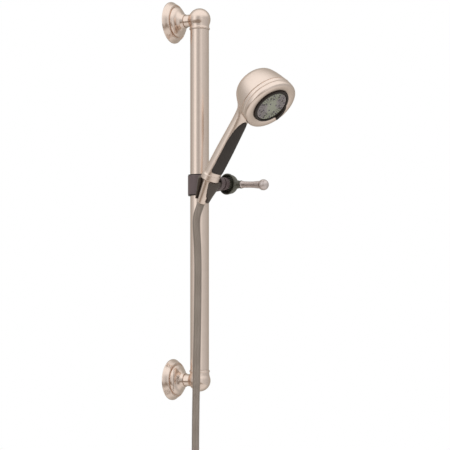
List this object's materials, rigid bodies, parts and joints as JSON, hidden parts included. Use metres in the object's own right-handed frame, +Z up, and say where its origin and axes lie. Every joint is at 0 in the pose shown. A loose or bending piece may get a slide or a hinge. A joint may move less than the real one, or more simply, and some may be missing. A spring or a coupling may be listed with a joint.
{
  "type": "handheld shower head",
  "caption": "Handheld shower head with an adjustable spray face, held by a tilting cradle that slides on a round wall bar, with its flexible hose.",
  "frame": {"origin": "centre of the lower mounting plate's back face, on the wall", "axes": "+Z up along the bar, +Y into the wall, +X along the wall to the right when facing +Y"},
  "size_m": [0.156, 0.2594, 1.0683],
  "materials": {
    "nickel_plate": "brushed warm nickel plating on metal",
    "plated_shell": "satin nickel plating on moulded ABS",
    "steel": "bare stainless steel",
    "brass": "turned brass",
    "sleeve_plastic": "moulded warm grey plastic",
    "cradle_plastic": "moulded dark brown-grey plastic",
    "hub_plastic": "semi-gloss grey-green plastic",
    "black_plastic": "moulded black plastic",
    "face_plastic": "silver-grey moulded plastic",
    "white_plastic": "unpainted white acetal",
    "grip_rubber": "dark moulded rubber",
    "nozzle_rubber": "soft grey silicone",
    "seal_rubber": "black nitrile rubber",
    "hose_metal": "interlocked stainless strip over an inner tube",
    "strap": "black hook-and-loop strap"
  },
  "bodies": {
    "wall_bar": {"lower_mount_plate": "steel", "lower_rosette": "nickel_plate", "lower_post": "nickel_plate", "lower_set_screw": "steel", "upper_mount_plate": "steel", "upper_rosette": "nickel_plate", "upper_post": "nickel_plate", "upper_set_screw": "steel", "bar_tube": "nickel_plate"},
    "slider_carriage": {"slider_bush": "black_plastic"},
    "slider": {"clamp_body": "sleeve_plastic", "pivot_stud": "steel", "thrust_washer": "steel", "friction_washer": "black_plastic"},
    "lever": {"lever_hub": "hub_plastic", "lever_insert": "brass", "lever_handle": "nickel_plate"},
    "cradle": {"cradle_cup": "cradle_plastic"},
    "handset": {"handset_shell": "plated_shell", "grip_pad": "grip_rubber", "water_tube": "white_plastic", "inlet_nipple": "brass", "flow_regulator": "white_plastic", "cone_nut": "nickel_plate", "hose_washer": "seal_rubber", "hose_fitting": "brass", "head_bezel": "plated_shell", "face_plate": "face_plastic", "nozzle_mat": "nozzle_rubber", "valve_body": "white_plastic", "head_seal": "seal_rubber", "valve_screw_1": "steel", "valve_screw_2": "steel", "valve_screw_3": "steel", "detent_spring": "steel", "detent_ball": "steel"},
    "spray_selector": {"selector_ring": "black_plastic", "diverter_disc": "white_plastic"},
    "turbine": {"turbine": "white_plastic"},
    "hose": {"hose_run": "hose_metal", "hose_hank": "hose_metal", "hank_tie": "strap", "supply_fitting": "brass", "supply_washer": "seal_rubber"},
    "supply_nut": {"supply_nut": "nickel_plate"}
  },
  "joints": [
    {"name": "slider_slide", "type": "slide", "parent": "wall_bar", "child": "slider_carriage", "axis": [0, 0, 1], "range_m": [-0.29, 0.24]},
    {"name": "slider_swivel", "type": "hinge", "parent": "slider_carriage", "child": "slider", "pos_m": [0, -0.05398, 0.3295], "axis": [0, 0, 1], "range_deg": [-60, 60]},
    {"name": "lever_turn", "type": "hinge", "parent": "slider", "child": "lever", "pos_m": [-0.01116, -0.10271, 0.3295], "axis": [0.9748, -0.2233, 0], "range_deg": [0, 90]},
    {"name": "cradle_tilt", "type": "hinge", "parent": "slider", "child": "cradle", "pos_m": [-0.01116, -0.10271, 0.3295], "axis": [-0.9748, 0.2233, 0], "range_deg": [-20, 25]},
    {"name": "handset_lift", "type": "slide", "parent": "cradle", "child": "handset", "axis": [-0.1014, -0.4425, 0.891], "range_m": [0, 0.06], "deforming": ["hose_run"]},
    {"name": "spray_selector_turn", "type": "hinge", "parent": "handset", "child": "spray_selector", "pos_m": [-0.07218, -0.22579, 0.44104], "axis": [-0.1498, -0.654, -0.7415], "range_deg": [-45, 45]},
    {"name": "turbine_spin", "type": "hinge", "parent": "handset", "child": "turbine", "pos_m": [-0.07218, -0.22579, 0.44104], "axis": [-0.1498, -0.654, -0.7415], "continuous": true},
    {"name": "hose_swing", "type": "hinge", "parent": "handset", "child": "hose", "pos_m": [-0.03865, -0.07938, 0.29647], "axis": [-0.9748, 0.2233, 0], "range_deg": [-25, 25], "deforming": ["hose_run"]},
    {"name": "supply_nut_spin", "type": "hinge", "parent": "hose", "child": "supply_nut", "pos_m": [-0.10939, -0.09148, -0.30211], "axis": [0, 0, 1], "continuous": true}
  ],
  "couplings": [
    {"joint": "hose_swing", "follows": "cradle_tilt", "ratio": -1}
  ]
}
